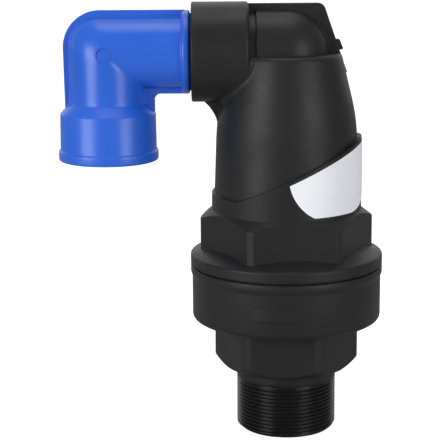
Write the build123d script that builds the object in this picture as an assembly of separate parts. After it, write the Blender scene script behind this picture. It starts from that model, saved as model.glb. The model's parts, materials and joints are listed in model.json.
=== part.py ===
from build123d import *
import os
from math import radians, sin

# Combination air release valve for a 2-inch pipe. Millimetres, +Z up.
# The origin is the centre of the threaded inlet's lower end face. The outlet points to -X, and -Y is
# the front.

# How far the parts of one moulding reach into each other, and how far a cut runs past a face.
sink = 2.0
past = 1.0

# Inlet: male 2-inch parallel pipe thread, drawn as a plain shank at its major diameter.
inlet_thread_od = 59.6
inlet_neck_height = 39.6
inlet_end_chamfer = 2.0
inlet_bore = 48.0

# Lower hexagon, for the wrench that screws the base into the pipe.
base_hex_flats = 77.0
base_hex_corners = 85.8
base_hex_height = 28.7
base_hex_turn = -5.5
base_hex_bevel = 4.6
base_hex_bevel_reach = 5.5

# Bowl of the base, with the band round its mouth.
bowl_od = 112.6
bowl_height = 33.6
bowl_floor = 4.2
bowl_wall = 4.0
bowl_bottom_radius = 3.0
rim_od = 114.4
rim_band = 6.0
rim_band_radius = 0.4
edge_break = 0.5
funnel_top_radius = 34.0
rest_rib_count = 6
rest_rib_turn = 30.0
rest_rib_width = 3.0
rest_rib_height = 5.8
rest_rib_inner_radius = 13.0
rest_rib_foot = 8.0
funnel_lip_depth = 6.0

# Body: spigot in the base, flange on its rim, and the upper hexagon.
spigot_clearance = 0.2
spigot_wall = 5.6
spigot_depth = 21.5
spigot_lead = 1.5
flange_height = 6.3
flange_edge_radius = 1.6
flange_cone_height = 4.4
flange_cone_radius = 46.0
body_hex_flats = 90.8
body_hex_corners = 102.5
body_hex_turn = 3.9
body_hex_top = 33.1
body_hex_bevel = 5.3
body_hex_bevel_reach = 6.9
body_hex_foot = 2.0

# Bell: drafted lower part, then a steeper cone up to the shoulder.
bell_wall = 4.0
bell_foot_radius = 44.1
bell_foot = 30.3
bell_draft = 0.0527
bell_knee = 87.1
bell_upper_draft = 0.242
bell_knee_radius = 118.0
bell_height = 125.3
shoulder_radius = 3.4
pocket_roof = 5.5
chamber_step = 9.0
chamber_step_radius = 3.0
pocket_radius = 1.5

# Raised pad on the bell, level at the left and rising across the front to the right.
pad_foot_radius = 44.4
pad_draft = 0.006
pad_level = 42.9
pad_rise_start = -29.0
pad_rise_end = 44.0
pad_rise = 33.6
pad_sink = 4.0

# Label on the pad.
label_thickness = 0.25
label_margin = 2.2
label_tip_x = 0.0
label_foot_x = 14.5
label_bow_x = 4.8
label_bow_height = 8.4
label_foot_gap = 1.8
label_corner_x = 36.0
label_corner_height = 8.0
label_side_x = 44.3

# Outlet: tube up the middle, bent to -X into the collar.
outlet_height = 125.9
outlet_tube_bore = 41.0
outlet_tube_wall = 3.9
outlet_tube_drop = 28.2
collar_od = 58.2
collar_face_x = -55.7
collar_back_x = -22.3
collar_edge_radius = 1.0
collar_back_radius = 2.0
collar_wall = 6.3
collar_lead = 0.8
socket_wall = 3.2
collar_blend = 3.0
neck_length = 4.0
neck_groove = 1.4
neck_edge_radius = 0.5

# Rib over the outlet tube and web under the collar, both in the middle plane.
rib_thickness = 4.4
rib_top = 153.9
rib_end_x = 21.2
rib_foot_x = 32.6
rib_corner_radius = 4.5
stop_lug_reach = 1.1
stop_lug_low = 1.6
stop_lug_high = 7.6
stop_lug_radius = 0.9
web_thickness = 5.0
web_reach = 8.2
web_drop = 14.0
web_bow_reach = 2.2
web_bow_drop = 5.6

# Screw bosses round the outlet tube.
boss_count = 4
boss_turn = 45.0
boss_radius = 4.4
boss_overlap = 0.6
screw_shank_radius = 1.5
screw_hole_depth = 11.0
screw_head_radius = 3.0
screw_head_height = 2.4

# Guide ribs for the float inside the bell.
guide_rib_count = 6
guide_rib_width = 2.6
guide_rib_bottom = 16.0
guide_rib_top = 64.0
guide_clearance = 0.5

# Large orifice seat.
seat_bore = 32.0
seat_flange_thickness = 3.0
seat_flange_radius = 24.0
seat_shank_length = 9.0
seat_shank_clearance = 0.1
seat_lip_height = 1.5
seat_lip_width = 2.0
seat_groove_depth = 1.9
seat_groove_width = 2.6
seat_groove_offset = 3.2
seat_lip_radius = 0.3
seat_end_radius = 0.7

# Seal plug, with the cage that guides it.
plug_radius = 21.0
plug_disc_thickness = 6.5
plug_skirt_height = 15.0
plug_skirt_wall = 3.0
plug_root_radius = 1.5
plug_edge_radius = 0.7
plug_lift = 10.0
face_seal_inner_radius = 14.5
face_seal_outer_radius = 19.6
face_seal_thickness = 2.5
face_seal_proud = 0.8
face_seal_edge_radius = 0.5
small_orifice_radius = 2.0
nozzle_radius = 4.0
nozzle_length = 2.2
nozzle_tip_radius = 0.6
nozzle_root_radius = 1.0
touch_clearance = 0.2
cage_clearance = 0.6
cage_wall = 5.4
cage_top_thickness = 4.0
cage_flange_radius = 33.0
cage_bottom_thickness = 3.8
cage_bottom_bore = 34.4
cage_leg_width = 8.0
cage_leg_count = 4

# Stem with its slotted head, the cross pin, the strip and its clamps.
stem_head_length = 24.0
stem_head_width = 12.0
stem_head_height = 11.0
stem_shank_radius = 5.5
stem_collar_radius = 10.0
stem_collar_thickness = 3.0
stem_root_radius = 4.0
stem_root_length = 18.0
stem_root_lead = 0.8
stem_head_corner = 1.5
stem_fit = 0.05
float_lift = 3.0
strip_thickness = 1.6
strip_width = 10.0
strip_corner = 1.0
clamp_length = 5.0
clamp_thickness = 1.6
clamp_corner = 0.8
clamp_screw_radius = 0.9
clamp_screw_head_radius = 1.7
clamp_screw_head_height = 0.5
clamp_screw_spacing = 6.0
clamp_screw_depth = 5.0
clamp_screw_end_gap = 0.5
pin_radius = 1.5
pin_height = 3.0
pin_slot_clearance = 0.15
pin_fit = 0.05
pin_end_setback = 0.5

# Float.
float_radius = 34.0
float_edge_radius = 3.0
float_top_gap = 1.5
float_recess_radius = 22.0
float_recess_depth = 12.0
float_recess_root = 4.0
float_recess_edge = 2.0

# Drain elbow, which turns in the collar.
spigot_running_gap = 0.3
spigot_end_gap = 0.8
elbow_spigot_bore = 32.6
elbow_spigot_length = 30.6
elbow_spigot_edge_radius = 1.0
elbow_ring_thickness = 4.6
elbow_ring_od = 48.6
elbow_ring_gap = 0.9
elbow_ring_edge_radius = 0.7
elbow_tube_od = 39.4
elbow_leg_x = -105.0
elbow_leg_od = 43.6
elbow_leg_bore = 36.4
elbow_bend_radius = 17.5
elbow_cone_top_drop = 29.2
elbow_cone_height = 6.1
elbow_cone_radius = 1.2
cup_od = 56.2
cup_height = 21.6
cup_draft = 0.6
bead_od = 58.8
bead_height = 6.2
bead_edge_radius = 0.8
drain_bore = 48.2
drain_bore_depth = 22.0
drain_bore_cone = 4.0
drain_step_radius = 1.0
elbow_rib_thickness = 4.0
elbow_rib_top = 24.5
elbow_rib_reach = 25.8
elbow_rib_foot_reach = 25.0
elbow_rib_arc = 21.5
elbow_web_drop = 24.2
elbow_web_x = -77.3
elbow_web_foot = 34.5
elbow_web_corner = 3.5

# O-rings: round cord, drawn at the size it is squeezed to.
seal_gap = 0.05
seal_roundness = 0.45
body_ring_width = 3.6
body_ring_depth = 2.6
body_ring_offset = 4.0
elbow_ring_seal_width = 3.4
elbow_ring_seal_depth = 2.4
elbow_seal_inset = 6.0
elbow_seal_pitch = 8.0

# Split ring in the collar's groove that catches the elbow's spigot.
keeper_inset = 8.0
keeper_width = 2.0
keeper_groove_width = 2.6
keeper_depth_out = 1.6
keeper_depth_in = 1.3
keeper_clearance = 0.3
keeper_split = 40.0

# Levels that follow from the values above.
hex_bottom_z = inlet_neck_height
bowl_bottom_z = hex_bottom_z + base_hex_height
floor_z = bowl_bottom_z + bowl_floor
rim_z = bowl_bottom_z + bowl_height
bowl_inner_radius = bowl_od / 2 - bowl_wall
flange_top_z = rim_z + flange_height
outlet_z = rim_z + outlet_height
shoulder_z = rim_z + bell_height
tube_bore_radius = outlet_tube_bore / 2
tube_radius = tube_bore_radius + outlet_tube_wall
tube_end_z = outlet_z - outlet_tube_drop
boss_circle_radius = tube_radius + boss_radius - boss_overlap
seat_z = tube_end_z - seat_flange_thickness
lip_z = seat_z - seat_lip_height
plug_seal_z = lip_z - touch_clearance - plug_lift
plug_top_z = plug_seal_z - face_seal_proud
plug_disc_z = plug_top_z - plug_disc_thickness
plug_bottom_z = plug_disc_z - plug_skirt_height
cage_bottom_z = plug_bottom_z - touch_clearance - cage_bottom_thickness
cage_bore_radius = plug_radius + cage_clearance
cage_radius = cage_bore_radius + cage_wall
nozzle_z = plug_disc_z - nozzle_length
strip_top_z = nozzle_z - touch_clearance - float_lift
head_top_z = strip_top_z - strip_thickness
head_bottom_z = head_top_z - stem_head_height
pin_z = plug_bottom_z + pin_height
float_top_z = cage_bottom_z - plug_lift - float_lift - float_top_gap
rest_z = floor_z + rest_rib_height
float_bottom_z = rest_z + touch_clearance
socket_radius = collar_od / 2 - collar_wall
spigot_radius = socket_radius - spigot_running_gap
ring_x = collar_face_x - elbow_ring_gap
spigot_end_x = ring_x + elbow_spigot_length
socket_end_x = spigot_end_x + spigot_end_gap
keeper_x = collar_face_x + keeper_inset
cup_top_z = outlet_z - elbow_cone_top_drop - elbow_cone_height
bead_top_z = cup_top_z - cup_height
cup_mouth_z = bead_top_z - bead_height


def turned(points, radii=None):
    """Solid turned about Z from (radius, height) corners, each with its own corner radius."""
    corners = [(r, 0, z) for r, z in points]
    if radii is None:
        outline = Polyline(*corners, close=True)
    else:
        outline = FilletPolyline(*corners, radius=radii, close=True)
    return revolve(make_face(outline), Axis.Z)


def tube(outer, inner, low, high):
    """Plain ring about Z between two heights."""
    return turned([(inner, low), (outer, low), (outer, high), (inner, high)])


def along_x(shape, height):
    """Lays a solid turned about Z on the axis of the outlet: its +Z becomes +X."""
    return Pos(0, 0, height) * Rot(0, 90, 0) * shape


def upright(outline, thickness):
    """Plate in the middle plane, from an outline in X and Z."""
    return extrude(make_face(outline), thickness / 2, dir=(0, 1, 0), both=True)


def bell_radius(height):
    """Outer radius of the bell at a height above the rim, on its two straight drafts."""
    lower = bell_foot_radius - bell_draft * (height - bell_foot)
    knee = bell_foot_radius - bell_draft * (bell_knee - bell_foot)
    return min(lower, knee - bell_upper_draft * (height - bell_knee))


def hexagon(flats, low, high, turn):
    """Prism with a flat towards the front, turned about Z."""
    outline = RegularPolygon(flats / 2, 6, major_radius=False, rotation=turn)
    return Pos(0, 0, low) * extrude(outline, high - low)


def base_cavity():
    """Space inside the base: bore, funnel and bowl."""
    bore = inlet_bore / 2
    return turned([
        (0, -past), (bore, -past), (bore, hex_bottom_z), (funnel_top_radius, floor_z - funnel_lip_depth),
        (funnel_top_radius, floor_z), (bowl_inner_radius, floor_z), (bowl_inner_radius, rim_z + past),
        (0, rim_z + past),
    ])


def make_base():
    shank = inlet_thread_od / 2
    stem = turned([
        (0, 0), (shank - inlet_end_chamfer, 0), (shank, inlet_end_chamfer), (shank, bowl_bottom_z),
        (0, bowl_bottom_z),
    ])
    corner = base_hex_corners / 2
    bevel = turned([
        (0, hex_bottom_z), (corner - base_hex_bevel_reach, hex_bottom_z),
        (corner, hex_bottom_z + base_hex_bevel), (corner, bowl_bottom_z + past),
        (0, bowl_bottom_z + past),
    ])
    nut = hexagon(base_hex_flats, hex_bottom_z, bowl_bottom_z + past, base_hex_turn) & bevel
    bowl = turned(
        [
            (0, bowl_bottom_z), (bowl_od / 2, bowl_bottom_z), (bowl_od / 2, rim_z - rim_band),
            (rim_od / 2, rim_z - rim_band + (rim_od - bowl_od) / 2), (rim_od / 2, rim_z - edge_break),
            (rim_od / 2 - edge_break, rim_z), (0, rim_z),
        ],
        [0, bowl_bottom_radius, rim_band_radius, rim_band_radius, 0, 0, 0],
    )
    cavity = base_cavity()
    ribs = Part()
    reach = bowl_inner_radius + past - rest_rib_inner_radius
    low = hex_bottom_z + rest_rib_foot
    for i in range(rest_rib_count):
        blade = Pos(rest_rib_inner_radius + reach / 2, 0, (low + rest_z) / 2) * Box(
            reach, rest_rib_width, rest_z - low)
        ribs += Rot(0, 0, rest_rib_turn + i * 360 / rest_rib_count) * blade
    return (stem + nut + bowl - cavity) + (ribs & cavity)


def body_spigot_radius():
    return bowl_inner_radius - spigot_clearance


def body_ring_groove_z():
    """Middle of the O-ring groove in the spigot, below the rim."""
    return rim_z - body_ring_offset


def chamber():
    """Space inside the body, from the spigot's mouth to the pocket round the outlet tube."""
    inner = body_spigot_radius() - spigot_wall
    bell = bell_radius(body_hex_top) - bell_wall
    knee = bell_radius(bell_knee) - bell_wall
    roof_z = shoulder_z - pocket_roof
    roof = bell_radius(bell_height - pocket_roof) - bell_wall
    return turned(
        [
            (0, rim_z - spigot_depth - past), (inner, rim_z - spigot_depth - past),
            (inner, flange_top_z), (bell, flange_top_z + chamber_step), (knee, rim_z + bell_knee),
            (roof, roof_z), (0, roof_z),
        ],
        [0, 0, chamber_step_radius, chamber_step_radius, bell_knee_radius, pocket_radius, 0],
    )


def bell_and_flange():
    spigot = body_spigot_radius()
    flange = rim_od / 2
    bottom = rim_z - spigot_depth
    foot = bell_radius(body_hex_top)
    knee = bell_radius(bell_knee)
    shoulder = bell_radius(bell_height)
    cone_z = flange_top_z + flange_cone_height
    skin = turned(
        [
            (0, bottom), (spigot - spigot_lead, bottom), (spigot, bottom + spigot_lead),
            (spigot, rim_z), (flange - edge_break, rim_z), (flange, rim_z + edge_break),
            (flange, flange_top_z), (flange_cone_radius, cone_z), (foot, cone_z),
            (knee, rim_z + bell_knee), (shoulder, shoulder_z), (0, shoulder_z),
        ],
        [0, 0, 0, 0, 0, 0, flange_edge_radius, 0, 0, bell_knee_radius, shoulder_radius, 0],
    )
    corner = body_hex_corners / 2
    top = rim_z + body_hex_top
    low = rim_z + body_hex_foot
    bevel = turned([
        (0, low), (corner, low), (corner, top - body_hex_bevel), (corner - body_hex_bevel_reach, top),
        (0, top),
    ])
    return skin + (hexagon(body_hex_flats, low, top, body_hex_turn) & bevel)


def pad_outline(lower):
    """Front view of the pad: level at the left, then rising to the right."""
    slope = pad_rise / (pad_rise_end - pad_rise_start)
    right = pad_rise_end + 4 * sink
    low = rim_z + pad_level
    end = low + slope * (right - pad_rise_start)
    left = -pad_foot_radius - 2 * sink
    return Polyline(
        (left, 0, lower), (left, 0, low), (pad_rise_start, 0, low), (right, 0, end), (right, 0, lower),
        close=True,
    )


def pad_skin(extra, low):
    """Turned solid out to the pad's face, and further out by a given amount."""
    height = pad_level + pad_rise + 3 * sink
    return turned([
        (0, low), (pad_foot_radius + extra, low),
        (pad_foot_radius + extra - pad_draft * (height - body_hex_top), rim_z + height),
        (0, rim_z + height),
    ])


def raised_pad():
    low = rim_z + body_hex_top - pad_sink
    view = upright(pad_outline(low), 4 * pad_foot_radius)
    return pad_skin(0, low) & view


def outlet_solid():
    """Outside of the outlet: tube up the middle, round elbow, neck and collar."""
    upright_tube = tube(tube_radius, 0, tube_end_z, outlet_z)
    ball = Pos(0, 0, outlet_z) * Rot(0, -45, 180) * Sphere(tube_radius)
    neck_end = collar_back_x + neck_length
    barrel = along_x(
        turned(
            [(0, collar_back_x), (tube_radius - neck_groove, collar_back_x),
             (tube_radius - neck_groove, neck_end), (tube_radius, neck_end), (tube_radius, 0), (0, 0)],
            [0, 0, neck_edge_radius, neck_edge_radius, 0, 0],
        ),
        outlet_z,
    )
    rim = collar_od / 2
    collar = along_x(
        turned(
            [(0, collar_face_x), (rim, collar_face_x), (rim, collar_back_x), (0, collar_back_x)],
            [0, collar_edge_radius, collar_back_radius, 0],
        ),
        outlet_z,
    )
    return upright_tube + ball + barrel + collar


def outlet_passage():
    """Way out: tube bore, bend, and the socket with its keeper groove."""
    bore = tube_bore_radius
    up = tube(bore, 0, tube_end_z - past, outlet_z)
    ball = Pos(0, 0, outlet_z) * Rot(0, -45, 180) * Sphere(bore)
    level = along_x(tube(bore, 0, socket_end_x, 0), outlet_z)
    groove = socket_radius + keeper_depth_out
    half = keeper_groove_width / 2
    socket = along_x(
        turned([
            (0, collar_face_x - past), (socket_radius + collar_lead + past, collar_face_x - past),
            (socket_radius, collar_face_x + collar_lead), (socket_radius, keeper_x - half),
            (groove, keeper_x - half), (groove, keeper_x + half), (socket_radius, keeper_x + half),
            (socket_radius, socket_end_x), (0, socket_end_x),
        ]),
        outlet_z,
    )
    return up + ball + level + socket


def top_rib():
    """Rib over the outlet tube, down its far side to the shoulder, with a small lug."""
    top = rim_z + rib_top
    low = outlet_z - tube_radius / 2
    slope = (rib_foot_x - rib_end_x) / (top - shoulder_z)
    outline = FilletPolyline(
        (collar_back_x - sink, 0, low), (collar_back_x - sink, 0, top), (rib_end_x, 0, top),
        (rib_foot_x + slope * (shoulder_z - low) - sink, 0, low),
        radius=[0, 0, rib_corner_radius, 0], close=True,
    )
    lug_low = shoulder_z + stop_lug_low
    lug_high = shoulder_z + stop_lug_high
    lug = FilletPolyline(
        (rib_end_x, 0, lug_low), (rib_end_x, 0, lug_high),
        (rib_foot_x - slope * stop_lug_high + stop_lug_reach, 0, lug_high),
        (rib_foot_x - slope * stop_lug_low + stop_lug_reach, 0, lug_low),
        radius=[0, 0, stop_lug_radius, stop_lug_radius], close=True,
    )
    return upright(outline, rib_thickness) + upright(lug, rib_thickness)


def collar_web():
    """Web in the corner between the collar's underside and the bell."""
    top = outlet_z - collar_od / 2
    x = -bell_radius(top - web_drop - rim_z)
    edge = ThreePointArc(
        (x - web_reach, 0, top + past), (x - web_bow_reach, 0, top - web_bow_drop),
        (x + past, 0, top - web_drop))
    inside = x + 4 * sink
    high = top + 2 * sink
    outline = edge + Polyline(edge @ 1, (inside, 0, top - web_drop), (inside, 0, high),
                              (x - web_reach, 0, high), edge @ 0)
    return upright(outline, web_thickness)


def boss_places():
    return [boss_turn + i * 360 / boss_count for i in range(boss_count)]


def blended_skin():
    """Bell, pad and outlet in one, with a fillet where the collar runs into the bell."""
    skin = bell_and_flange() + raised_pad() + outlet_solid()
    low = outlet_z - collar_od / 2 - collar_blend
    seam = [
        edge for edge in skin.edges()
        if edge.geom_type == GeomType.BSPLINE and collar_face_x < edge.center().X < collar_back_x
        and low < edge.center().Z < shoulder_z
    ]
    return fillet(seam, collar_blend)


def make_body():
    outside = blended_skin() + top_rib() + collar_web()
    space = chamber()
    bosses = Part()
    holes = Part()
    for angle in boss_places():
        place = Rot(0, 0, angle) * Pos(boss_circle_radius, 0, 0)
        bosses += place * tube(boss_radius, 0, tube_end_z, shoulder_z)
        holes += place * tube(screw_shank_radius + stem_fit, 0, tube_end_z - past,
                              tube_end_z + screw_hole_depth)
    ribs = Part()
    for i in range(guide_rib_count):
        blade = Pos(pad_foot_radius / 2, 0, rim_z + (guide_rib_bottom + guide_rib_top) / 2) * Box(
            pad_foot_radius, guide_rib_width, guide_rib_top - guide_rib_bottom)
        ribs += Rot(0, 0, i * 360 / guide_rib_count) * blade
    ribs -= tube(float_radius + guide_clearance, 0, 0, shoulder_z)
    inner_tube = tube(tube_radius, 0, tube_end_z, outlet_z)
    crossing = along_x(tube(tube_radius, 0, collar_face_x, 0), outlet_z)
    socket_tube = along_x(
        tube(socket_radius + socket_wall, 0, collar_face_x, socket_end_x + socket_wall), outlet_z)
    kept = space & (bosses + ribs + inner_tube + crossing + socket_tube)
    groove = tube(body_spigot_radius() + past, body_spigot_radius() + spigot_clearance - body_ring_depth
                  - 2 * seal_gap, body_ring_groove_z() - body_ring_width / 2 - seal_gap,
                  body_ring_groove_z() + body_ring_width / 2 + seal_gap)
    return outside - space + kept - outlet_passage() - holes - groove


def rounded_ring(inner, outer, middle, width):
    """Squeezed O-ring about Z: its section is a rectangle with well rounded corners."""
    r = seal_roundness * min(outer - inner, width)
    return turned(
        [(inner, middle - width / 2), (outer, middle - width / 2), (outer, middle + width / 2),
         (inner, middle + width / 2)],
        [r, r, r, r],
    )


def make_body_o_ring():
    outer = bowl_inner_radius - seal_gap
    return rounded_ring(outer - body_ring_depth, outer, body_ring_groove_z(), body_ring_width)


def seat_groove_z():
    return tube_end_z + seat_groove_offset + seat_groove_width / 2


def make_orifice_seat():
    bore = seat_bore / 2
    shank = tube_bore_radius - seat_shank_clearance
    half = seat_groove_width / 2
    floor = shank - seat_groove_depth
    groove = seat_groove_z()
    return turned(
        [
            (bore, lip_z), (bore + seat_lip_width, lip_z), (bore + seat_lip_width, seat_z),
            (seat_flange_radius, seat_z), (seat_flange_radius, tube_end_z), (shank, tube_end_z),
            (shank, groove - half), (floor, groove - half), (floor, groove + half),
            (shank, groove + half), (shank, tube_end_z + seat_shank_length),
            (bore, tube_end_z + seat_shank_length),
        ],
        [seat_lip_radius, seat_lip_radius, 0, 0, 0, 0, 0, 0, 0, 0, seat_end_radius, seat_end_radius],
    )


def make_orifice_seat_o_ring():
    outer = tube_bore_radius - seal_gap
    inner = tube_bore_radius - seat_shank_clearance - seat_groove_depth + seal_gap
    return rounded_ring(inner, outer, seat_groove_z(), seat_groove_width - 2 * seal_gap)


def make_plug_cage():
    pocket = seat_flange_radius + touch_clearance
    top = turned([
        (cage_bore_radius, seat_z - cage_top_thickness),
        (cage_flange_radius, seat_z - cage_top_thickness),
        (cage_flange_radius, tube_end_z), (pocket, tube_end_z), (pocket, seat_z),
        (cage_bore_radius, seat_z),
    ])
    bottom = tube(cage_radius, cage_bottom_bore / 2, cage_bottom_z,
                  cage_bottom_z + cage_bottom_thickness)
    wall = tube(cage_radius, cage_bore_radius, cage_bottom_z, seat_z)
    legs = Part()
    for i in range(cage_leg_count):
        leg = Pos(cage_radius / 2 + 2 * sink, 0, (cage_bottom_z + seat_z) / 2) * Box(
            cage_radius, cage_leg_width, seat_z - cage_bottom_z)
        legs += Rot(0, 0, i * 360 / cage_leg_count) * leg
    cage = top + bottom + (wall & legs)
    for angle in boss_places():
        cage -= Rot(0, 0, angle) * Pos(boss_circle_radius, 0, 0) * tube(
            screw_shank_radius + stem_fit, 0, cage_bottom_z, shoulder_z)
    return cage


def make_cage_screws():
    low = seat_z - cage_top_thickness
    screws = []
    for angle in boss_places():
        head = Cylinder(screw_head_radius, screw_head_height,
                        align=(Align.CENTER, Align.CENTER, Align.MAX))
        shank = Cylinder(screw_shank_radius, tube_end_z + screw_hole_depth - past - low,
                         align=(Align.CENTER, Align.CENTER, Align.MIN))
        screws.append(Rot(0, 0, angle) * Pos(boss_circle_radius, 0, low) * (head + shank))
    return Compound(screws)


def make_seal_plug():
    skirt = plug_radius - plug_skirt_wall
    groove_z = plug_seal_z - face_seal_thickness
    outer = face_seal_outer_radius + seal_gap
    inner = face_seal_inner_radius - seal_gap
    disc = turned(
        [
            (0, nozzle_z), (nozzle_radius, nozzle_z), (nozzle_radius, plug_disc_z), (skirt, plug_disc_z),
            (skirt, plug_bottom_z), (plug_radius, plug_bottom_z), (plug_radius, plug_top_z),
            (outer, plug_top_z), (outer, groove_z), (inner, groove_z), (inner, plug_top_z),
            (0, plug_top_z),
        ],
        [0, nozzle_tip_radius, nozzle_root_radius, plug_root_radius, 0, plug_edge_radius, plug_edge_radius,
         0, 0, 0, 0, 0],
    )
    orifice = tube(small_orifice_radius, 0, nozzle_z - past, plug_top_z + past)
    cross = Pos(0, 0, pin_z) * Rot(90, 0, 0) * Cylinder(pin_radius + pin_fit, 3 * plug_radius)
    return disc - orifice - cross


def make_plug_face_seal():
    low = plug_seal_z - face_seal_thickness
    return turned(
        [(face_seal_inner_radius, low), (face_seal_outer_radius, low),
         (face_seal_outer_radius, plug_seal_z), (face_seal_inner_radius, plug_seal_z)],
        [0, 0, face_seal_edge_radius, face_seal_edge_radius],
    )


def make_stem_pin():
    length = 2 * (plug_radius - pin_end_setback)
    return Pos(0, 0, pin_z) * Rot(90, 0, 0) * Cylinder(pin_radius, length)


def clamp_screw_places():
    x = stem_head_length / 2 - clamp_length / 2
    return [(sx * x, sy * clamp_screw_spacing / 2) for sx in (-1, 1) for sy in (-1, 1)]


def make_clamping_stem():
    head = Pos(0, 0, head_bottom_z) * extrude(
        RectangleRounded(stem_head_length, stem_head_width, stem_head_corner), stem_head_height)
    low = float_top_z - stem_collar_thickness
    shank = turned([
        (0, low - stem_root_length), (stem_root_radius - stem_root_lead, low - stem_root_length),
        (stem_root_radius, low - stem_root_length + stem_root_lead), (stem_root_radius, low),
        (stem_collar_radius, low), (stem_collar_radius, float_top_z),
        (stem_shank_radius, float_top_z), (stem_shank_radius, head_bottom_z + past),
        (0, head_bottom_z + past),
    ])
    width = pin_radius + pin_slot_clearance
    slot_high = pin_z + width
    slot_low = pin_z - float_lift - width
    outline = Pos(0, 0, (slot_high + slot_low) / 2) * Rot(90, 0, 0) * Rot(0, 0, 90) * SlotOverall(
        slot_high - slot_low, 2 * width)
    slot = extrude(outline, stem_head_width, both=True)
    stem = head + shank - slot
    for x, y in clamp_screw_places():
        stem -= Pos(x, y, head_top_z - clamp_screw_depth) * Cylinder(
            clamp_screw_radius + stem_fit, clamp_screw_depth + past,
            align=(Align.CENTER, Align.CENTER, Align.MIN))
    return stem


def make_small_orifice_seal():
    strip = Pos(0, 0, head_top_z) * extrude(
        RectangleRounded(stem_head_length, strip_width, strip_corner), strip_thickness)
    for x, y in clamp_screw_places():
        strip -= Pos(x, y, head_top_z - past) * Cylinder(
            clamp_screw_radius + stem_fit, strip_thickness + 2 * past,
            align=(Align.CENTER, Align.CENTER, Align.MIN))
    return strip


def make_seal_clamps():
    bars = []
    for side in (-1, 1):
        bar = Pos(side * (stem_head_length - clamp_length) / 2, 0, strip_top_z) * extrude(
            RectangleRounded(clamp_length, stem_head_width, clamp_corner), clamp_thickness)
        for x, y in clamp_screw_places():
            if x * side > 0:
                bar -= Pos(x, y, strip_top_z - past) * Cylinder(
                    clamp_screw_radius + stem_fit, clamp_thickness + 2 * past,
                    align=(Align.CENTER, Align.CENTER, Align.MIN))
        bars.append(bar)
    return Compound(bars)


def make_clamp_screws():
    screws = []
    top = strip_top_z + clamp_thickness
    length = top - (head_top_z - clamp_screw_depth) - clamp_screw_end_gap
    for x, y in clamp_screw_places():
        head = Cylinder(clamp_screw_head_radius, clamp_screw_head_height,
                        align=(Align.CENTER, Align.CENTER, Align.MIN))
        shank = Cylinder(clamp_screw_radius, length, align=(Align.CENTER, Align.CENTER, Align.MAX))
        screws.append(Pos(x, y, top) * (head + shank))
    return Compound(screws)


def make_float():
    collar = stem_collar_radius + stem_fit
    root = stem_root_radius + stem_fit
    low = float_top_z - stem_collar_thickness
    root_low = low - stem_root_length - past
    recess_z = float_bottom_z + float_recess_depth
    return turned(
        [
            (0, recess_z), (float_recess_radius, recess_z),
            (float_recess_radius, float_bottom_z), (float_radius, float_bottom_z),
            (float_radius, float_top_z), (collar, float_top_z), (collar, low), (root, low),
            (root, root_low), (0, root_low),
        ],
        [0, float_recess_root, float_recess_edge, float_edge_radius, float_edge_radius, 0, 0, 0, 0, 0],
    )


def elbow_seal_places():
    first = ring_x + elbow_spigot_length - elbow_seal_inset
    return [first, first - elbow_seal_pitch]


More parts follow.
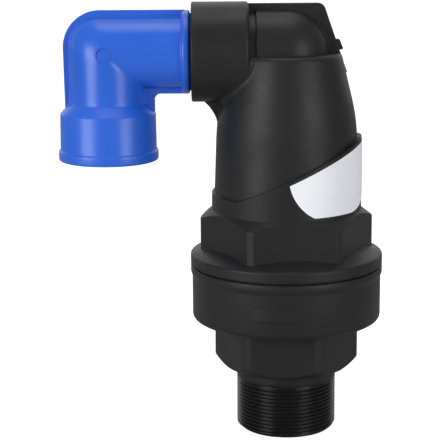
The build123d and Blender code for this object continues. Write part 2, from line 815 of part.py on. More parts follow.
def make_drain_elbow():
    ring = elbow_ring_od / 2
    run = elbow_tube_od / 2
    leg = elbow_leg_od / 2
    spigot = along_x(
        turned(
            [(0, ring_x), (spigot_radius, ring_x), (spigot_radius, spigot_end_x), (0, spigot_end_x)],
            [0, 0, elbow_spigot_edge_radius, 0],
        ),
        outlet_z,
    )
    shoulder_ring = along_x(
        turned(
            [(0, ring_x - elbow_ring_thickness), (ring, ring_x - elbow_ring_thickness), (ring, ring_x),
             (0, ring_x)],
            [0, elbow_ring_edge_radius, elbow_ring_edge_radius, 0],
        ),
        outlet_z,
    )
    level = along_x(tube(run, 0, elbow_leg_x, ring_x), outlet_z)
    cone_z = cup_top_z + elbow_cone_height
    down = Pos(elbow_leg_x, 0, 0) * turned(
        [
            (0, cup_mouth_z), (bead_od / 2, cup_mouth_z), (bead_od / 2, bead_top_z),
            ((cup_od + cup_draft) / 2, bead_top_z), ((cup_od - cup_draft) / 2, cup_top_z),
            (leg, cone_z), (leg, outlet_z + run), (0, outlet_z + run),
        ],
        [0, bead_edge_radius, bead_edge_radius, 0, elbow_cone_radius, elbow_cone_radius,
         elbow_bend_radius, 0],
    )
    left = elbow_leg_x - elbow_rib_reach
    foot_x = elbow_leg_x - elbow_rib_foot_reach
    start = ring_x - past
    top = outlet_z + elbow_rib_top
    back = upright(
        FilletPolyline(
            (start, 0, outlet_z), (start, 0, top), (left, 0, top), (foot_x, 0, cup_top_z + sink),
            (elbow_leg_x, 0, cup_top_z + sink), (elbow_leg_x, 0, outlet_z),
            radius=[0, 0, elbow_rib_arc, 0, 0, 0], close=True,
        ),
        elbow_rib_thickness,
    )
    inner = upright(
        FilletPolyline(
            (start, 0, outlet_z), (start, 0, outlet_z - elbow_web_drop),
            (elbow_web_x, 0, outlet_z - elbow_web_drop), (elbow_web_x, 0, outlet_z - elbow_web_foot),
            (elbow_leg_x, 0, outlet_z - elbow_web_foot), (elbow_leg_x, 0, outlet_z),
            radius=[0, 0, elbow_web_corner, 0, 0, 0], close=True,
        ),
        elbow_rib_thickness,
    )
    solid = spigot + shoulder_ring + level + down + back + inner
    bore = elbow_spigot_bore / 2
    leg_bore = elbow_leg_bore / 2
    wall = leg - leg_bore
    drain_top_z = cup_mouth_z + drain_bore_depth
    level_bore = along_x(tube(bore, 0, elbow_leg_x, spigot_end_x + past), outlet_z)
    leg_way = Pos(elbow_leg_x, 0, 0) * turned(
        [
            (0, cup_mouth_z - past), (drain_bore / 2, cup_mouth_z - past),
            (drain_bore / 2, drain_top_z), (leg_bore, drain_top_z + drain_bore_cone),
            (leg_bore, outlet_z + run - wall), (0, outlet_z + run - wall),
        ],
        [0, 0, drain_step_radius, drain_step_radius, elbow_bend_radius - wall, 0],
    )
    solid = solid - level_bore - leg_way
    floor = socket_radius - seal_gap - elbow_ring_seal_depth - seal_gap
    for x in elbow_seal_places():
        solid -= along_x(tube(spigot_radius + past, floor, x - elbow_ring_seal_width / 2 - seal_gap,
                              x + elbow_ring_seal_width / 2 + seal_gap), outlet_z)
    half = keeper_groove_width / 2
    solid -= along_x(tube(spigot_radius + past, spigot_radius - keeper_depth_in - keeper_clearance,
                          keeper_x - half, keeper_x + half), outlet_z)
    return solid


def make_elbow_o_rings():
    outer = socket_radius - seal_gap
    rings = [along_x(rounded_ring(outer - elbow_ring_seal_depth, outer, x, elbow_ring_seal_width), outlet_z)
             for x in elbow_seal_places()]
    return Compound(rings)


def make_elbow_retaining_ring():
    ring = along_x(
        tube(socket_radius + keeper_depth_out - seal_gap, spigot_radius - keeper_depth_in,
             keeper_x - keeper_width / 2, keeper_x + keeper_width / 2),
        outlet_z,
    )
    gap = Pos(keeper_x, 0, outlet_z + collar_od / 2) * Box(
        4 * keeper_width, 2 * socket_radius * sin(radians(keeper_split / 2)), collar_od / 2)
    return ring - gap


def make_label():
    """Sticker round the pad: a point at the front, its top edge along the pad's lip."""
    slope = pad_rise / (pad_rise_end - pad_rise_start)
    tip_z = rim_z + pad_level + slope * (label_tip_x - pad_rise_start) - label_margin
    foot_z = rim_z + body_hex_top + label_foot_gap
    right = pad_foot_radius + 3 * sink
    top_right = (right, 0, tip_z + slope * (right - label_tip_x))
    edge = ThreePointArc(
        (label_tip_x, 0, tip_z), (label_tip_x + label_bow_x, 0, foot_z + label_bow_height),
        (label_foot_x, 0, foot_z))
    side_z = foot_z + label_corner_height
    corner = TangentArc((label_corner_x, 0, foot_z), (label_side_x, 0, side_z), tangent=(1, 0, 0))
    outline = (edge + Line(edge @ 1, corner @ 0) + corner
               + Polyline(corner @ 1, (right, 0, side_z), top_right, edge @ 0))
    view = upright(outline, 4 * pad_foot_radius)
    low = rim_z + body_hex_top
    return (pad_skin(label_thickness + seal_gap, low) - pad_skin(seal_gap, low)) & view


pieces = {
    "base": make_base(),
    "body": make_body(),
    "body_o_ring": make_body_o_ring(),
    "orifice_seat": make_orifice_seat(),
    "orifice_seat_o_ring": make_orifice_seat_o_ring(),
    "plug_cage": make_plug_cage(),
    "cage_screws": make_cage_screws(),
    "seal_plug": make_seal_plug(),
    "plug_face_seal": make_plug_face_seal(),
    "stem_pin": make_stem_pin(),
    "clamping_stem": make_clamping_stem(),
    "small_orifice_seal": make_small_orifice_seal(),
    "seal_clamps": make_seal_clamps(),
    "clamp_screws": make_clamp_screws(),
    "float": make_float(),
    "drain_elbow": make_drain_elbow(),
    "elbow_o_rings": make_elbow_o_rings(),
    "elbow_retaining_ring": make_elbow_retaining_ring(),
    "label": make_label(),
}

os.makedirs("parts", exist_ok=True)
for name, piece in pieces.items():
    export_step(piece, "parts/" + name + ".step")
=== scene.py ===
"""Visual model of the air release valve.

The base and the drain elbow are replaced by finer surfaces that carry their threads, grooves and soft
bends. A few small pieces stand on those two, and every other node keeps its solid and gets a finish.
The plain studio and the photograph's camera come last. Sizes are in millimetres, unless a line says
otherwise, and a mesh is scaled to metres where it is made."""
import json
import math

import bmesh
import bpy
import numpy as np
from mathutils import Matrix


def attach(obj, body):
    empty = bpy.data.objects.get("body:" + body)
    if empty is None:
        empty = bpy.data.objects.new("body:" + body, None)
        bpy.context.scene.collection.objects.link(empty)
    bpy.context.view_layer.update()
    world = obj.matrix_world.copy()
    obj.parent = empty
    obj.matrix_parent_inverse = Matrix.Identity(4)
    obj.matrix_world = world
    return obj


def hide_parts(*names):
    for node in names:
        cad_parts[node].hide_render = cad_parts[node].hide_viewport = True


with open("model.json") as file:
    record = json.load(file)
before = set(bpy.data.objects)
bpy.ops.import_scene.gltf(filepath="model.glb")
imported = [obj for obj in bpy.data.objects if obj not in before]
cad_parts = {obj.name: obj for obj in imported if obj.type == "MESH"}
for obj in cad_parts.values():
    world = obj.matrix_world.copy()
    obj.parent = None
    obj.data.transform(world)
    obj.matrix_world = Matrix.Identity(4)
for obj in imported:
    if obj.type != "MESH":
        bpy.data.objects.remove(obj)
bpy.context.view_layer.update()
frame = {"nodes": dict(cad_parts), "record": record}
nodes = frame["nodes"]
MM = 0.001
FULL_TURN = 2 * math.pi

# Camera: distance in front of the outlet's plane, height over the thread's end, tilt, roll and lens.
CAMERA_X = -39.6
CAMERA_DISTANCE = 922.0
CAMERA_HEIGHT = 325.0
CAMERA_TILT = 12.1
CAMERA_ROLL = -0.36
FOCAL_PIXELS = 1580.0
PHOTO_PIXELS = 440.0
SENSOR_WIDTH = 36.0

# Inlet thread and neck, from the end face upwards.
BORE_RADIUS = 24.0
END_FACE_RADIUS = 26.0
LEAD_IN_RADIUS = 27.0
LEAD_IN_SLOPE = 1.15
THREAD_RADIUS = 29.8
THREAD_PITCH = 2.309
THREAD_DEPTH = 1.48
THREAD_END = 32.5
THREAD_RUN_OUT = 2.2
THREAD_ROWS = 13
SHANK_TOP = 34.0
NECK_FOOT = 34.6
NECK_TOP = 39.6

# Lower hexagon.
HEX_FLATS = 77.0
HEX_CORNER = 42.9
HEX_TURN = -5.5
HEX_BEVEL_FOOT = 37.4
HEX_BEVEL_SLOPE = 1.19
HEX_BEVEL_HEIGHT = 6.4
HEX_PLAIN_FROM = 7.0
HEX_HEIGHT = 28.2
HEX_EDGE = 0.35

# Bowl, outside and inside.
BOWL_BOTTOM = 68.3
BOWL_START_RADIUS = 50.0
BOWL_RADIUS = 56.3
RIM_FOOT = 94.7
RIM_BAND = 97.5
RIM_RADIUS = 57.2
RIM_TOP = 101.9
SEAM_HEIGHT = 0.8
SEAM_DEPTH = 1.8
FUNNEL_RADIUS = 34.0
FUNNEL_TOP = 66.5
BOWL_FLOOR = 72.5
BOWL_INSIDE = 52.3
BLADE_FOOT = ((13.0, 48.2), (23.9, 47.6), (33.9, 66.0), (34.1, 72.4), (52.3, 72.4))
BLADE_TOP = 78.3
BLADE_HALF = 1.5
BLADE_EASE = 0.35

# Bare plate on the bowl: middle, half sizes, corner, and how its edge rises.
PLATE_X = -8.6
PLATE_Z = 82.8
PLATE_HALF_WIDTH = 14.4
PLATE_HALF_HEIGHT = 4.3
PLATE_CORNER = 1.1
PLATE_EDGE = 0.7
PLATE_HEIGHT = 0.4
PLATE_ROOT = 0.5
PLATE_BACK = 0.9

# Drain elbow: the outlet's axis, the level tube, the leg and the cup.
OUTLET_Z = 227.8
SPIGOT_RADIUS = 22.5
SPIGOT_END = -26.0
GROOVES = ((-32.0, 1.75, 20.3), (-40.0, 1.75, 20.3), (-47.7, 1.30, 20.90))
RING_X = -56.6
RING_FOOT = -61.2
RING_RADIUS = 24.3
RUN_RADIUS = 20.8
RUN_BORE = 16.3
BEND_START = -75.0
LEG_X = -105.0
LEG_RADIUS = 21.8
LEG_BORE = 18.2
BEND_INSIDE = 1.5
BEND_TIGHT = 0.45
BEND_OUTSIDE = 17.0
BEND_BORE = 13.4
CONE_TOP = 198.6
CUP_TOP = 192.5
CUP_TOP_RADIUS = 28.1
CUP_FOOT = 170.9
CUP_FOOT_RADIUS = 28.4
BEAD_TOP = 170.4
BEAD_RADIUS = 29.4
CUP_MOUTH = 164.7
CUP_BORE_TOP = 186.7
CUP_BORE_CONE = 190.7
DRAIN_RADIUS = 24.1
WEB_HALF = 2.0
MARK_X = -1.0
MARK_Z = 0.5
MARK_RADIUS = 4.1
MARK_HALF_WIDTH = 0.45
MARK_HEIGHT = 0.38
MARK_BLEND = 10.0
SLEEVE_FOOT = 1.2
SLEEVE_TOP = 20.4
SLEEVE_ROWS = 10
SLEEVE_WALL = 0.6
SLEEVE_THREAD_TOP = 20.2
SLEEVE_THREAD_FADE = 1.5
SINK = 0.05
ELBOW_COLUMNS = np.linspace(0, FULL_TURN, 144, endpoint=False)[None]


def place_mesh(name, mesh):
    """Object at the origin for a mesh, with its faces turned outwards."""
    face_outwards(mesh)
    piece = bpy.data.objects.new(name, mesh)
    bpy.context.scene.collection.objects.link(piece)
    return piece


def face_outwards(mesh):
    work = bmesh.new()
    work.from_mesh(mesh)
    bmesh.ops.recalc_face_normals(work, faces=work.faces)
    work.to_mesh(mesh)
    work.free()
    mesh.update()


def closed_grid(name, points):
    """Mesh through a grid of points (rows, columns, 3), closed both ways: each cell is one quad, and
    the last row and column join the first."""
    rows, columns = points.shape[:2]
    index = np.arange(rows * columns).reshape(rows, columns)
    down = np.roll(index, -1, 0)
    quads = np.stack([index, np.roll(index, -1, 1), np.roll(down, -1, 1), down], -1)
    mesh = bpy.data.meshes.new(name)
    mesh.from_pydata((points.reshape(-1, 3) * MM).tolist(), [], quads.reshape(-1, 4).tolist())
    mesh.polygons.foreach_set("use_smooth", [True] * len(mesh.polygons))
    return place_mesh(name, mesh)


def stacked_shells(name, shells):
    """Mesh of closed shells. Each is a stack of rings (rings, columns, 3): quads join a ring to the
    next, and one polygon closes each end."""
    faces, start = [], 0
    for rings in shells:
        rows, columns = rings.shape[:2]
        index = np.arange(rows * columns).reshape(rows, columns) + start
        right = np.roll(index, -1, 1)
        quads = np.stack([index[:-1], right[:-1], right[1:], index[1:]], -1)
        faces += quads.reshape(-1, 4).tolist()
        faces += [index[0][::-1].tolist(), index[-1].tolist()]
        start += rows * columns
    mesh = bpy.data.meshes.new(name)
    points = np.vstack([rings.reshape(-1, 3) for rings in shells]) * MM
    mesh.from_pydata(points.tolist(), [], faces)
    return place_mesh(name, mesh)


def join_into(piece, other):
    """Moves the faces of another piece into a piece's mesh, so that its shading also rounds the
    corners between the two."""
    work = bmesh.new()
    work.from_mesh(piece.data)
    work.from_mesh(other.data)
    work.to_mesh(piece.data)
    work.free()
    bpy.data.objects.remove(other)


def rounded_outline(corners, steps=5):
    """Points along a polyline of (x, y, radius) corners. Each corner is an arc tangent to both its
    sides: it starts radius / tan(half the corner's angle) before the corner, and its points lie at
    radius from the centre, at equal angles. A corner of radius 0 is one point."""
    out = []
    for before, here, after in zip(corners[:-2], corners[1:-1], corners[2:]):
        p, q, r = (np.array(c[:2], float) for c in (before, here, after))
        radius = here[2]
        if radius <= 0:
            out.append(q[None])
            continue
        a = (p - q) / np.linalg.norm(p - q)
        b = (r - q) / np.linalg.norm(r - q)
        half = math.acos(np.clip(a @ b, -1, 1)) / 2
        centre = q + (a + b) / np.linalg.norm(a + b) * radius / math.sin(half)
        first = q + a * radius / math.tan(half) - centre
        sign = -1.0 if a[0] * b[1] - a[1] * b[0] > 0 else 1.0
        t = np.linspace(0, math.pi - 2 * half, steps)[:, None] * sign
        out.append(centre + np.hstack([first[0] * np.cos(t) - first[1] * np.sin(t),
                                       first[0] * np.sin(t) + first[1] * np.cos(t)]))
    ends = [np.array([corners[i][:2]], float) for i in (0, -1)]
    return np.vstack([ends[0], *out, ends[1]])


def soft_step(t):
    """Smooth step t^2 (3 - 2 t) between 0 and 1."""
    return t * t * (3 - 2 * t)


def soft_min(a, b, width):
    """Smaller of two values, blended over width so that the edge between them is round."""
    gap = np.clip(0.5 + 0.5 * (b - a) / width, 0, 1)
    return b + (a - b) * gap - width * gap * (1 - gap)


def hexagon_radius(angle):
    """Radius of the lower hexagon at an angle: half its width across the flats over the cosine of the
    angle from the nearest flat's middle, cut off at the corner radius."""
    step = math.pi / 3
    off = (angle - math.radians(-90 + HEX_TURN) + step / 2) % step - step / 2
    return soft_min(HEX_FLATS / 2 / np.cos(off), np.full_like(off, HEX_CORNER), HEX_EDGE)


def base_angles():
    """Angles of the base's columns: even ones, with more about each corner of the hexagon."""
    corners = np.radians(-90 + HEX_TURN + 30 + 60 * np.arange(6))
    cluster = np.radians([-4.2, -3.6, -3.1, -2.6, -1.5, 0, 1.5, 2.6, 3.1, 3.6, 4.2])
    angle = np.concatenate([np.linspace(0, FULL_TURN, 132, endpoint=False),
                            (corners[:, None] + cluster).ravel() % FULL_TURN])
    return np.unique(np.round(angle, 5))


def thread_block(angle):
    """Rows of the inlet thread, (radius, height). It is a helix, crest - depth * wave(height / pitch
    - angle / turn), which fades out at the neck and meets the lead-in cone at the end face."""
    height = np.arange(0.0, SHANK_TOP, THREAD_PITCH / THREAD_ROWS)[:, None]
    phase = (height / THREAD_PITCH - angle / FULL_TURN) % 1.0
    wave = soft_step(np.abs(2 * phase - 1))
    fade = np.clip((THREAD_END - height) / THREAD_RUN_OUT, 0, 1)
    ridges = THREAD_RADIUS - THREAD_DEPTH * wave * fade
    cone = LEAD_IN_RADIUS + LEAD_IN_SLOPE * height
    return soft_min(ridges, cone + 0 * ridges, 0.25), height + 0 * ridges


def hexagon_blocks(angle):
    """Rows of the hexagon, (radius, height): the smaller of the hexagon's radius and a cone that
    bevels its lower edge, then a short step out under the bowl."""
    nut = hexagon_radius(angle)
    rise = np.concatenate([np.linspace(0, HEX_BEVEL_HEIGHT, 34),
                           np.linspace(HEX_PLAIN_FROM, HEX_HEIGHT, 12)])[:, None]
    bevelled = soft_min(nut + 0 * rise, HEX_BEVEL_FOOT + HEX_BEVEL_SLOPE * rise, 0.5)
    under = np.array([[BOWL_BOTTOM - 0.1], [BOWL_BOTTOM]])
    return [(bevelled, NECK_TOP + rise + 0 * bevelled),
            (nut + np.array([[0.0], [0.5]]), under + 0 * nut)]


def base_moulding():
    """Skin of the base, all round its wall: radius(angle, row) and height(row) about Z. Thread and
    hexagon have their own rows; the rest is a rounded outline of (radius, z) turned about Z."""
    angle = base_angles()

    def turned(outline):
        return outline[:, :1] + 0 * angle, outline[:, 1:] + 0 * angle

    end_face = rounded_outline([(BORE_RADIUS, 0.6, 0), (BORE_RADIUS, 0, 0.5), (END_FACE_RADIUS, 0, 0)])
    neck = rounded_outline([(THREAD_RADIUS, NECK_FOOT, 0), (THREAD_RADIUS, NECK_TOP, 0.8),
                            (HEX_BEVEL_FOOT, NECK_TOP, 0)])[:-1]
    seam = RIM_TOP - SEAM_HEIGHT
    bowl = rounded_outline([
        (BOWL_START_RADIUS, BOWL_BOTTOM, 0), (BOWL_RADIUS, BOWL_BOTTOM, 3.0),
        (BOWL_RADIUS, RIM_FOOT, 3.0), (RIM_RADIUS, RIM_BAND, 3.0), (RIM_RADIUS, seam, 0.9),
        (RIM_RADIUS - SEAM_DEPTH, seam, 0.15), (RIM_RADIUS - SEAM_DEPTH, RIM_TOP, 0),
        (BOWL_INSIDE, RIM_TOP, 0.4),
        (BOWL_INSIDE, BOWL_FLOOR, 2.0), (FUNNEL_RADIUS, BOWL_FLOOR, 1.0),
        (FUNNEL_RADIUS, FUNNEL_TOP, 1.0), (BORE_RADIUS, NECK_TOP, 1.5), (BORE_RADIUS, 2.0, 0)])
    blocks = [turned(end_face), thread_block(angle), turned(neck), *hexagon_blocks(angle),
              turned(bowl)]
    radius = np.vstack([block[0] for block in blocks])
    z = np.vstack([block[1] for block in blocks])
    return closed_grid("base_moulding",
                       np.stack([radius * np.cos(angle), radius * np.sin(angle), z], -1))


def rest_ribs():
    """Six blades in the funnel: each is a bar section with bevelled corners carried along a radius,
    whose lower edge follows the funnel."""
    along = np.array([13.0, 13.25, 14.0, 20.0, 27.0, 33.9, 34.5, 45.0, 51.8, 52.2])
    low = np.interp(along, *np.array(BLADE_FOOT).T)
    top = np.full_like(along, BLADE_TOP)
    half = np.full_like(along, BLADE_HALF)
    top[0] -= BLADE_EASE
    low[0] += BLADE_EASE
    half[0] -= BLADE_EASE
    side = np.array([-1, -1, -0.8, 0.8, 1, 1, 0.8, -0.8])
    level = np.array([0, 1, 1, 1, 1, 0, 0, 0])
    inset = np.array([0.3, -0.3, 0, 0, -0.3, 0.3, 0, 0])
    y = half[:, None] * side
    z = low[:, None] + (top - low)[:, None] * level + inset
    x = along[:, None] + 0 * y
    turns = np.radians(30 + 60 * np.arange(6))
    return stacked_shells("rest_ribs", [np.stack([x * math.cos(t) - y * math.sin(t),
                                                  x * math.sin(t) + y * math.cos(t), z], -1)
                                        for t in turns])


def edge_spacing(count):
    """Places from -1 to 1 that lie closer together towards both ends."""
    even = np.linspace(-1, 1, count)
    return np.sign(even) * (1 - (1 - np.abs(even)) ** 1.6)


def bare_plate():
    """Plain raised plate on the bowl. Its face is the bowl's radius plus a height that rises from
    inside the wall to its full value over a narrow edge."""
    u, v = np.meshgrid(edge_spacing(60) * PLATE_HALF_WIDTH, edge_spacing(30) * PLATE_HALF_HEIGHT)
    out_u = np.maximum(np.abs(u) - (PLATE_HALF_WIDTH - PLATE_CORNER), 0)
    out_v = np.maximum(np.abs(v) - (PLATE_HALF_HEIGHT - PLATE_CORNER), 0)
    rise = np.clip((PLATE_CORNER - np.hypot(out_u, out_v)) / PLATE_EDGE, 0, 1)
    front = BOWL_RADIUS + (PLATE_ROOT + PLATE_HEIGHT) * soft_step(rise) - PLATE_ROOT
    back = np.full_like(front, BOWL_RADIUS - PLATE_BACK)
    turn = -math.pi / 2 + (PLATE_X + u) / BOWL_RADIUS
    face, rear = (np.stack([r * np.cos(turn), r * np.sin(turn), PLATE_Z + v], -1)
                  for r in (front, back))
    return stacked_shells("bare_plate", [np.concatenate([face, rear[:, ::-1]], 1)])


def bend_rows(run, leg, outside, steps=18):
    """Rows of the elbow's bend, one point for each angle round the tube. A line of the level tube
    meets its own line of the leg at a corner, which an arc rounds: its radius grows from the tight
    inner side of the bend to the given radius on the outer side."""
    outward = np.sin(ELBOW_COLUMNS)
    grow = soft_step(np.clip((outward + BEND_TIGHT) / (1 + BEND_TIGHT), 0, 1))
    radius = BEND_INSIDE + (outside - BEND_INSIDE) * grow
    t = np.linspace(0, math.pi / 2, steps)[:, None]
    x = LEG_X - leg * outward + radius * (1 - np.sin(t))
    z = OUTLET_Z + run * outward - radius * (1 - np.cos(t))
    y = (run + (leg - run) * np.sin(t) ** 2) * np.cos(ELBOW_COLUMNS)
    return np.stack([x, y, z], -1)


def level_rows(outline):
    """Rings of an outline of (x, radius) turned about the outlet's axis."""
    x, radius = outline[:, :1], outline[:, 1:]
    side, up = radius * np.cos(ELBOW_COLUMNS), radius * np.sin(ELBOW_COLUMNS)
    return np.stack([x + 0 * side, side, OUTLET_Z + up], -1)


def leg_rows(outline):
    """Rings of an outline of (radius, z) turned about the leg's axis."""
    radius, z = outline[:, :1], outline[:, 1:]
    side, out = radius * np.cos(ELBOW_COLUMNS), radius * np.sin(ELBOW_COLUMNS)
    return np.stack([LEG_X - out, side, z + 0 * side], -1)


def elbow_moulding():
    """Skin of the drain elbow, all round its wall: rings along the spigot, the shoulder ring and the
    level tube, the rounded bend, the leg, the cone and the cup, and back up the bores. A few plain
    rings between them keep the cells short."""
    outline = [(SPIGOT_END, RUN_BORE, 0), (SPIGOT_END, SPIGOT_RADIUS, 1.0)]
    for place, half, floor in GROOVES:
        outline += [(place + half, SPIGOT_RADIUS, 0), (place + half, floor, 0),
                    (place - half, floor, 0), (place - half, SPIGOT_RADIUS, 0)]
    outline += [(RING_X, SPIGOT_RADIUS, 0), (RING_X, RING_RADIUS, 1.2), (RING_FOOT, RING_RADIUS, 1.5),
                (RING_FOOT, RUN_RADIUS, 0.4), (-68.0, RUN_RADIUS, 0), (BEND_START, RUN_RADIUS, 0)]
    cup = [(LEG_RADIUS, 203.0, 0), (LEG_RADIUS, CONE_TOP, 1.6), (CUP_TOP_RADIUS, CUP_TOP, 1.8),
           (CUP_FOOT_RADIUS, CUP_FOOT, 0.7), (BEAD_RADIUS, BEAD_TOP, 0.9),
           (BEAD_RADIUS, CUP_MOUTH, 1.0), (DRAIN_RADIUS, CUP_MOUTH, 0.6),
           (DRAIN_RADIUS, CUP_BORE_TOP, 1.0), (LEG_BORE, CUP_BORE_CONE, 1.0),
           (LEG_BORE, 200.0, 0), (LEG_BORE, 206.0, 0)]
    blocks = [level_rows(rounded_outline(outline)), bend_rows(RUN_RADIUS, LEG_RADIUS, BEND_OUTSIDE),
              leg_rows(rounded_outline(cup, 6)), bend_rows(RUN_BORE, LEG_BORE, BEND_BORE)[::-1],
              level_rows(np.array([(BEND_START, RUN_BORE), (-50.0, RUN_BORE)]))]
    return closed_grid("elbow_moulding", np.vstack(blocks))


def elbow_webs():
    """Rib round the outside of the bend and web in its inner corner: each is an outline of (x, z),
    with its hidden edge inside the wall, carried across the middle plane."""
    rib = [(-59.5, 246.3, 0), (-59.5, 252.3, 0), (-130.8, 252.3, 21.5), (-130.0, 194.5, 0),
           (-125.0, 194.5, 0), (-125.0, 246.3, 15.5), (-59.5, 246.3, 0)]
    web = [(-59.5, 209.2, 0), (-59.5, 203.6, 0), (-77.3, 203.6, 3.5), (-77.3, 193.3, 0),
           (-84.5, 193.3, 0), (-84.5, 209.2, 0), (-59.5, 209.2, 0)]
    shells = []
    for corners in (rib, web):
        x, z = rounded_outline(corners, 24)[:-1].T
        shells.append(np.stack([np.stack([x, 0 * x + y, z], -1) for y in (-WEB_HALF, WEB_HALF)]))
    return stacked_shells("elbow_webs", shells)


def round_mark():
    """Raised ring that a mould pin leaves on the elbow: a small circle carried round a larger one. Its
    depth is that of the two tubes, sqrt(radius ** 2 - offset ** 2), blended across the bend."""
    turn = np.linspace(0, FULL_TURN, 72, endpoint=False)[:, None]
    section = np.linspace(0, FULL_TURN, 12, endpoint=False)[None]
    radius = MARK_RADIUS + MARK_HALF_WIDTH * np.cos(section)
    across = MARK_X + radius * np.cos(turn)
    up = MARK_Z + radius * np.sin(turn)
    leg = np.sqrt(LEG_RADIUS ** 2 - across ** 2)
    run = np.sqrt(RUN_RADIUS ** 2 - up ** 2)
    level = np.clip((across + up) / MARK_BLEND + 0.5, 0, 1)
    depth = leg + (run - leg) * level + MARK_HEIGHT * np.sin(section) - SINK
    return closed_grid("round_mark", np.stack([LEG_X + across, -depth, OUTLET_Z + up], -1))


def drain_thread():
    """Inner thread of the drain cup: a sleeve on the bore whose inner radius is the bore's less
    depth * wave(height / pitch + angle / turn), fading out at both ends."""
    angle = np.linspace(0, FULL_TURN, 120, endpoint=False)
    height = np.arange(SLEEVE_FOOT, SLEEVE_TOP, THREAD_PITCH / SLEEVE_ROWS)[:, None]
    phase = (height / THREAD_PITCH + angle / FULL_TURN) % 1.0
    wave = soft_step(1 - np.abs(2 * phase - 1))
    to_end = np.minimum(height - SLEEVE_FOOT, SLEEVE_THREAD_TOP - height)
    fade = np.clip(to_end / SLEEVE_THREAD_FADE, 0, 1)
    inner = DRAIN_RADIUS + SINK - THREAD_DEPTH * wave * fade
    outer = np.full((2, len(angle)), DRAIN_RADIUS + SLEEVE_WALL)
    ends = np.array([[height[-1, 0]], [SLEEVE_FOOT]])
    radius = np.vstack([inner, outer])
    z = np.vstack([height + 0 * inner, ends + 0 * outer]) + CUP_MOUTH
    return closed_grid("drain_thread",
                       np.stack([LEG_X + radius * np.cos(angle), radius * np.sin(angle), z], -1))


class Finish:
    """Node material with one Principled shader, read in Object coordinates, which are in metres."""

    def __init__(self, name, roughness, **sockets):
        self.material = bpy.data.materials.new(name)
        self.material.use_nodes = True
        self.tree = self.material.node_tree
        self.shader = self.tree.nodes["Principled BSDF"]
        self.shader.inputs["Roughness"].default_value = roughness
        for socket, value in sockets.items():
            self.shader.inputs[socket.replace("_", " ")].default_value = value
        self.place = self.add("ShaderNodeTexCoord").outputs["Object"]
        self.height = None

    def add(self, kind, **values):
        """New node. A value sets the node's own property of that name, or else its input."""
        node = self.tree.nodes.new(kind)
        for key, value in values.items():
            if hasattr(node, key):
                setattr(node, key, value)
            else:
                node.inputs[key.replace("_", " ")].default_value = value
        return node

    def link(self, start, end):
        self.tree.links.new(start, end)

    def math(self, operation, *terms):
        node = self.add("ShaderNodeMath", operation=operation)
        for socket, term in zip(node.inputs, terms):
            if hasattr(term, "is_output"):
                self.link(term, socket)
            else:
                socket.default_value = term
        return node.outputs[0]

    def axis(self, letter):
        node = self.add("ShaderNodeSeparateXYZ")
        self.link(self.place, node.inputs[0])
        return node.outputs[letter]

    def noise(self, scale, detail=2.0, roughness=0.5, stretch=(1, 1, 1)):
        mapping = self.add("ShaderNodeMapping", Scale=stretch)
        self.link(self.place, mapping.inputs["Vector"])
        node = self.add("ShaderNodeTexNoise", Scale=scale, Detail=detail, Roughness=roughness)
        self.link(mapping.outputs[0], node.inputs["Vector"])
        return node.outputs["Fac"]

    def ramp(self, value, low, high, from_low=0.3, from_high=0.7):
        node = self.add("ShaderNodeMapRange", From_Min=from_low, From_Max=from_high,
                        To_Min=low, To_Max=high)
        self.link(value, node.inputs["Value"])
        return node.outputs[0]

    def tint(self, value, dark, light):
        """Base colour between two colours, by a value from 0 to 1."""
        node = self.add("ShaderNodeMix", data_type="RGBA")
        ends = [socket for socket in node.inputs if socket.type == "RGBA"]
        ends[0].default_value, ends[1].default_value = (*dark, 1), (*light, 1)
        self.link(value, node.inputs["Factor"])
        mixed = [socket for socket in node.outputs if socket.type == "RGBA"][0]
        self.link(mixed, self.shader.inputs["Base Color"])

    def relief(self, value, depth):
        """Adds a height, a value from 0 to 1 times a depth, to the surface's relief."""
        scaled = self.math("MULTIPLY", value, depth * MM)
        self.height = scaled if self.height is None else self.math("ADD", self.height, scaled)

    def done(self, edge=0.0):
        """Joins the relief to the shader, over edges that are rounded in shading."""
        bump = self.add("ShaderNodeBump", Strength=1.0, Distance=1.0)
        self.link(self.height, bump.inputs["Height"])
        if edge > 0:
            rounding = self.add("ShaderNodeBevel", samples=6, Radius=edge * MM)
            self.link(rounding.outputs[0], bump.inputs["Normal"])
        self.link(bump.outputs[0], self.shader.inputs["Normal"])
        return self.material


def black_nylon():
    """Moulded black nylon with a fine grain. The inlet thread, below a height of 0.033 m, is smoother
    and shinier, and painted shade halves its base colour to a deeper black."""
    finish = Finish("black_nylon", 0.46, Specular_IOR_Level=0.3)
    # Mask of the inlet thread: it carries painted shade, a lower roughness and less grain.
    thread = finish.ramp(finish.axis("Z"), 1, 0, 0.0315, 0.0345)
    flow = finish.ramp(finish.noise(26, 3, 0.55, (1, 1, 0.35)), 0.72, 1.0)
    # Random tone of the grain, halved on the thread as painted shade for the shadow under the bowl.
    tone_and_painted_shade = finish.math("MULTIPLY_ADD", thread, -0.5, flow)
    finish.tint(tone_and_painted_shade, (0.004, 0.004, 0.004), (0.0148, 0.0148, 0.015))
    rough = finish.ramp(finish.noise(60, 3), 0.42, 0.5)
    finish.link(finish.math("MULTIPLY_ADD", thread, -0.21, rough), finish.shader.inputs["Roughness"])
    plain = finish.math("MULTIPLY_ADD", thread, -0.9, 1.0)
    for scale, depth in ((2600, 0.012), (55, 0.03)):
        finish.relief(finish.math("MULTIPLY", finish.noise(scale), plain), depth)
    return finish.done(0.7)


def blue_polypropylene():
    """Smooth moulded polypropylene with slight flow marks along the level tube."""
    finish = Finish("blue_polypropylene", 0.34, Specular_IOR_Level=0.5)
    flow = finish.ramp(finish.noise(22, 1, 0.5, (0.5, 1, 1)), 0, 1)
    finish.tint(flow, (0.019, 0.12, 0.65), (0.025, 0.137, 0.72))
    rough = finish.ramp(finish.noise(40, 0), 0.27, 0.34, 0.2, 0.8)
    finish.link(rough, finish.shader.inputs["Roughness"])
    finish.relief(finish.noise(2200), 0.008)
    finish.relief(finish.noise(40, 0), 0.02)
    return finish.done(0.9)


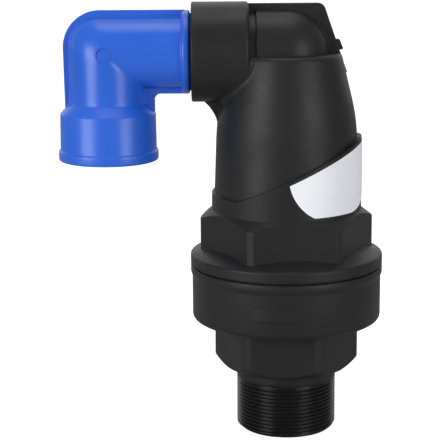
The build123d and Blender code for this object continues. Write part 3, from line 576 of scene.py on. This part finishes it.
def label_paper():
    """Coated paper, with painted shade that makes it a little less bright towards the valve's right
    side.
    """
    finish = Finish("label_paper", 0.42)
    # Painted shade: the base colour dims from X 0 to 0.045 m, towards the valve's right side.
    fade = finish.ramp(finish.axis("X"), 0, 1, 0.0, 0.045)
    finish.tint(fade, (0.94, 0.965, 1.0), (0.93, 0.95, 1.0))
    finish.relief(finish.noise(1500), 0.004)
    return finish.done()


def grained(name, colour, roughness, grain, depth, **sockets):
    """Finish of an inner piece: one colour that varies slightly, and a grain of a scale and depth."""
    finish = Finish(name, roughness, **sockets)
    spread = finish.ramp(finish.noise(grain / 20, 3), 0, 1)
    finish.tint(spread, [0.86 * c for c in colour], [1.1 * c for c in colour])
    finish.relief(finish.noise(grain), depth)
    return finish.done()


def dress(piece, material):
    piece.data.materials.clear()
    piece.data.materials.append(material)
    piece.data.polygons.foreach_set("material_index", [0] * len(piece.data.polygons))


finishes = {
    "black_plastic": black_nylon(),
    "blue_plastic": blue_polypropylene(),
    "label_paper": label_paper(),
    "inner_plastic": grained("inner_nylon", (0.045, 0.045, 0.05), 0.45, 1800, 0.012),
    "float_foam": grained("foamed_float", (0.6, 0.6, 0.56), 0.6, 900, 0.06),
    "seal_rubber": grained("seal_rubber", (0.016, 0.016, 0.016), 0.62, 2400, 0.015),
    "seat_bronze": grained("seat_bronze", (0.62, 0.42, 0.2), 0.3, 2600, 0.006, Metallic=1.0),
    "screw_steel": grained("screw_steel", (0.6, 0.6, 0.61), 0.28, 3000, 0.004, Metallic=1.0),
}
slots = {entry["node"]: entry["material_slot"] for entry in frame["record"]["subparts"]}
for name, node in nodes.items():
    dress(node, finishes[slots[name]])

base = base_moulding()
elbow = elbow_moulding()
join_into(elbow, elbow_webs())
for body, slot, pieces in (("housing", "black_plastic", (base, rest_ribs(), bare_plate())),
                           ("drain_elbow", "blue_plastic", (elbow, round_mark(), drain_thread()))):
    for piece in pieces:
        dress(piece, finishes[slot])
        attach(piece, body)
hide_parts("base")
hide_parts("drain_elbow")


def floor_finish():
    """Pale floor: diffuse, with enough of its own white towards the camera to read as paper white
    where no shadow falls."""
    material = bpy.data.materials.new("pale_floor")
    material.use_nodes = True
    tree = material.node_tree
    shader = tree.nodes["Principled BSDF"]
    shader.inputs["Base Color"].default_value = (0.45, 0.45, 0.45, 1)
    shader.inputs["Roughness"].default_value = 0.9
    shader.inputs["Emission Color"].default_value = (1, 1, 1, 1)
    rays = tree.nodes.new("ShaderNodeLightPath")
    level = tree.nodes.new("ShaderNodeMath")
    level.operation = "MULTIPLY"
    level.inputs[1].default_value = 0.95
    tree.links.new(rays.outputs["Is Camera Ray"], level.inputs[0])
    tree.links.new(level.outputs[0], shader.inputs["Emission Strength"])
    return material


def studio_world():
    """White surroundings: strength 1 towards the camera, and for light a dim front that grows bright
    behind the valve, by the direction's Y."""
    world = bpy.data.worlds.new("studio")
    world.use_nodes = True
    tree = world.node_tree
    background = tree.nodes["Background"]
    background.inputs["Color"].default_value = (1, 1, 1, 1)
    ray, direction, split, glow, level = (tree.nodes.new("ShaderNode" + kind) for kind in (
        "LightPath", "TexCoord", "SeparateXYZ", "MapRange", "MapRange"))
    for key, value in (("From Min", 0.48), ("From Max", 0.84), ("To Min", 0.28), ("To Max", 1.0)):
        glow.inputs[key].default_value = value
    level.inputs["To Max"].default_value = 1.0
    for start, end in ((direction.outputs["Generated"], split.inputs[0]),
                       (split.outputs["Y"], glow.inputs["Value"]),
                       (glow.outputs[0], level.inputs["To Min"]),
                       (ray.outputs["Is Camera Ray"], level.inputs["Value"]),
                       (level.outputs[0], background.inputs["Strength"])):
        tree.links.new(start, end)
    return world


def softbox(name, place, aim, width, height, power):
    """Rectangular lamp at a place, in metres, that faces the aim with its height upright."""
    lamp = bpy.data.lights.new(name, "AREA")
    lamp.shape = "RECTANGLE"
    lamp.size, lamp.size_y = width, height
    lamp.energy = power
    holder = bpy.data.objects.new(name, lamp)
    bpy.context.scene.collection.objects.link(holder)
    back = np.array(place, float) - np.array(aim, float)
    back /= np.linalg.norm(back)
    side = np.cross((0, 0, 1), back)
    side /= np.linalg.norm(side)
    up = np.cross(back, side)
    rows = [[side[i], up[i], back[i], place[i]] for i in range(3)]
    holder.matrix_world = Matrix(rows + [[0, 0, 0, 1]])


floor_mesh = bpy.data.meshes.new("floor")
floor_mesh.from_pydata([(-6, -3, 0), (6, -3, 0), (6, 12, 0), (-6, 12, 0)], [], [(0, 1, 2, 3)])
floor = bpy.data.objects.new("floor", floor_mesh)
bpy.context.scene.collection.objects.link(floor)
dress(floor, floor_finish())

bpy.context.scene.world = studio_world()
softbox("left_softbox", (-1.1, -0.95, 0.34), (-0.04, 0, 0.13), 0.72, 1.1, 14.5)
softbox("right_softbox", (0.95, -1.05, 0.34), (-0.02, 0, 0.13), 0.62, 1.1, 9.6)
softbox("top_softbox", (-0.05, 0.1, 1.45), (-0.03, 0, 0.15), 0.9, 0.7, 4.5)
softbox("back_softbox", (-0.05, 1.25, 1.25), (-0.03, 0, 0.15), 1.2, 0.5, 1.5)

camera_data = bpy.data.cameras.new("camera")
camera_data.sensor_width = SENSOR_WIDTH
camera_data.lens = SENSOR_WIDTH * FOCAL_PIXELS / PHOTO_PIXELS
camera_data.clip_start, camera_data.clip_end = 0.05, 50.0
camera = bpy.data.objects.new("camera", camera_data)
bpy.context.scene.collection.objects.link(camera)
camera.location = (CAMERA_X * MM, -CAMERA_DISTANCE * MM, CAMERA_HEIGHT * MM)
camera.rotation_euler = (Matrix.Rotation(math.radians(90 - CAMERA_TILT), 3, "X")
                         @ Matrix.Rotation(math.radians(CAMERA_ROLL), 3, "Z")).to_euler()
bpy.context.scene.camera = camera
bpy.context.scene.view_settings.view_transform = "Standard"
